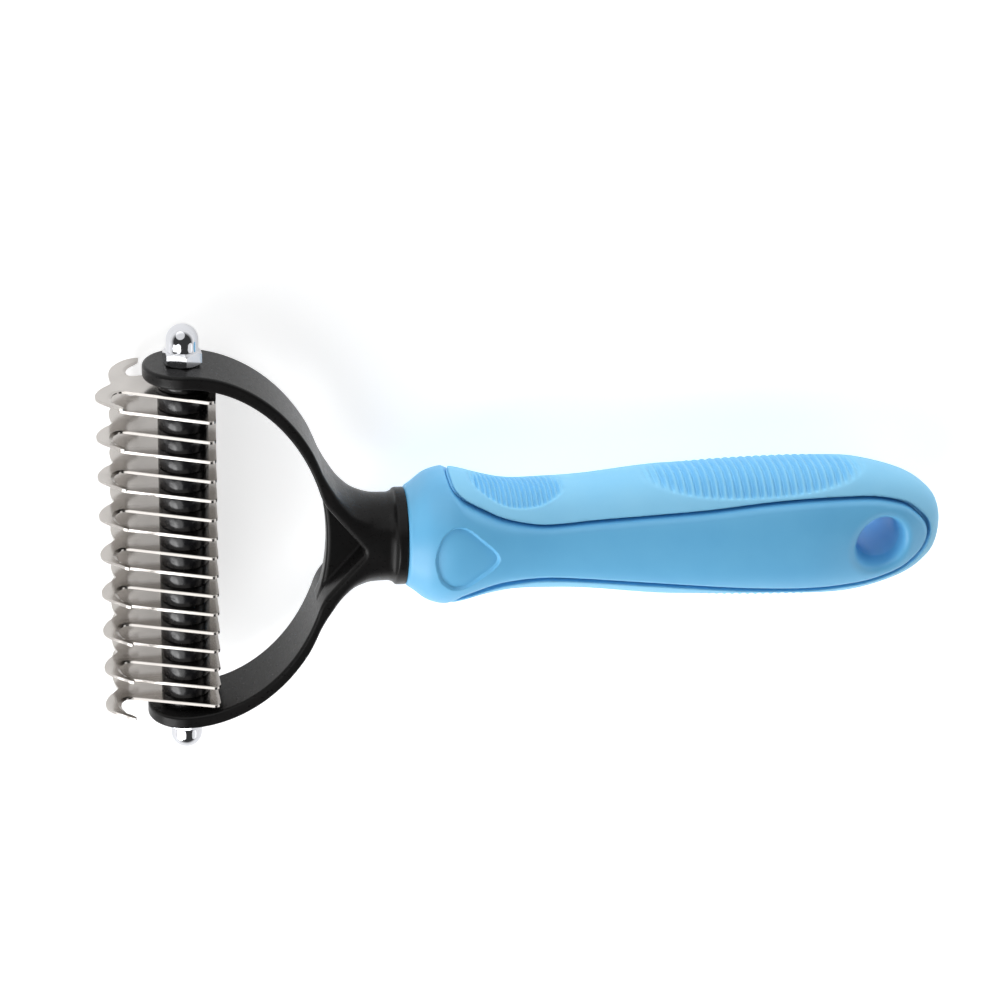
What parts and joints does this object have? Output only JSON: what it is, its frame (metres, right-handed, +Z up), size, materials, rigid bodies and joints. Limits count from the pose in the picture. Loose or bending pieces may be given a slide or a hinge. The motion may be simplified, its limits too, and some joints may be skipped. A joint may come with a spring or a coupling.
{
  "type": "undercoat rake",
  "caption": "Two-sided undercoat rake: a stack of hooked steel blades on a rod in a moulded fork, with a waisted soft-sided handle and a hanging hole.",
  "frame": {"origin": "middle of the overall box in X and Y, at the lowest point of the fine-side hooks in Z", "axes": "+X from the blades to the butt of the handle, +Y along the rod, +Z up through the coarse-side hooks"},
  "size_m": [0.175, 0.0942, 0.0298],
  "materials": {
    "blade_steel": "polished stainless steel with ground edges",
    "rod_steel": "zinc plated",
    "nut_chrome": "bright chrome",
    "spacer_plastic": "glossy black",
    "fork_plastic": "satin black moulding",
    "grip_plastic": "satin light blue moulding",
    "grip_rubber": "soft-touch light blue elastomer with fine ribs"
  },
  "bodies": {
    "handle": {"fork": "fork_plastic", "grip_body": "grip_plastic", "side_band": "grip_rubber", "rod": "rod_steel"},
    "blade_stack": {"blade_01": "blade_steel", "blade_02": "blade_steel", "blade_03": "blade_steel", "blade_04": "blade_steel", "blade_05": "blade_steel", "blade_06": "blade_steel", "blade_07": "blade_steel", "blade_08": "blade_steel", "blade_09": "blade_steel", "blade_10": "blade_steel", "blade_11": "blade_steel", "blade_12": "blade_steel", "blade_13": "blade_steel", "blade_14": "blade_steel", "blade_15": "blade_steel", "blade_16": "blade_steel", "blade_17": "blade_steel", "spacer_01": "spacer_plastic", "spacer_02": "spacer_plastic", "spacer_03": "spacer_plastic", "spacer_04": "spacer_plastic", "spacer_05": "spacer_plastic", "spacer_06": "spacer_plastic", "spacer_07": "spacer_plastic", "spacer_08": "spacer_plastic", "spacer_09": "spacer_plastic", "spacer_10": "spacer_plastic", "spacer_11": "spacer_plastic", "spacer_12": "spacer_plastic", "spacer_13": "spacer_plastic", "spacer_14": "spacer_plastic", "spacer_15": "spacer_plastic", "spacer_16": "spacer_plastic", "end_spacer_left": "spacer_plastic", "end_spacer_right": "spacer_plastic"},
    "nut_left": {"cap_nut_left": "nut_chrome"},
    "nut_right": {"cap_nut_right": "nut_chrome"}
  },
  "joints": [
    {"name": "stack_tilt", "type": "hinge", "parent": "handle", "child": "blade_stack", "pos_m": [-0.07033, 0, 0.01525], "axis": [0, 1, 0], "range_deg": [-25, 25]},
    {"name": "nut_left_turn", "type": "hinge", "parent": "handle", "child": "nut_left", "pos_m": [-0.07033, 0.0392, 0.01525], "axis": [0, 1, 0], "continuous": true},
    {"name": "nut_right_turn", "type": "hinge", "parent": "handle", "child": "nut_right", "pos_m": [-0.07033, -0.0392, 0.01525], "axis": [0, 1, 0], "continuous": true}
  ]
}
